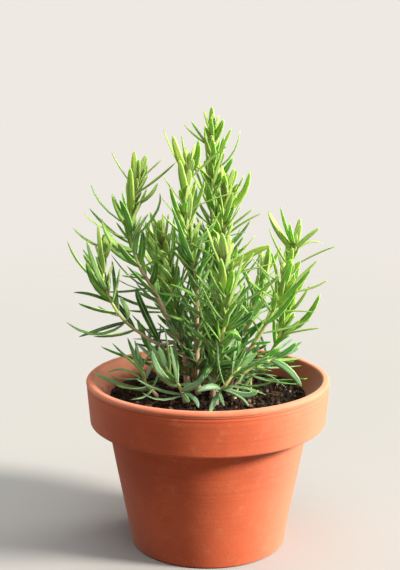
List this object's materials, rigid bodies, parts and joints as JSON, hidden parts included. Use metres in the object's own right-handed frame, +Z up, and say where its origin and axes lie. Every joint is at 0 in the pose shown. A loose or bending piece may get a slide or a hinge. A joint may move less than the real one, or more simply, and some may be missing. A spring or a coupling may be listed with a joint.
{
  "type": "potted rosemary plant",
  "caption": "Bushy rosemary plant with needle-like leaves on woody stems, standing in soil in a round terracotta pot with a thick banded rim.",
  "frame": {"origin": "centre of the pot's flat base, on the surface that it stands on", "axes": "+Z up along the pot's axis, -Y towards the plant's front, +X to its right"},
  "size_m": [0.161, 0.15, 0.264],
  "materials": {
    "terracotta": "matte unglazed",
    "soil": "rough, moist",
    "foliage": "satin, waxy leaf"
  },
  "bodies": {
    "root": {"pot": "terracotta", "soil": "soil", "stem_left": "foliage", "stem_inner_left": "foliage", "stem_centre_left": "foliage", "stem_tall": "foliage", "stem_centre_right": "foliage", "stem_front": "foliage", "stem_right": "foliage", "stem_right_back": "foliage", "stem_back_left": "foliage", "stem_back": "foliage", "stem_back_right": "foliage", "sprig_left": "foliage", "sprig_front_left": "foliage", "sprig_front": "foliage", "sprig_front_right": "foliage", "sprig_right": "foliage", "sprig_back_left": "foliage", "sprig_back": "foliage"}
  },
  "joints": []
}
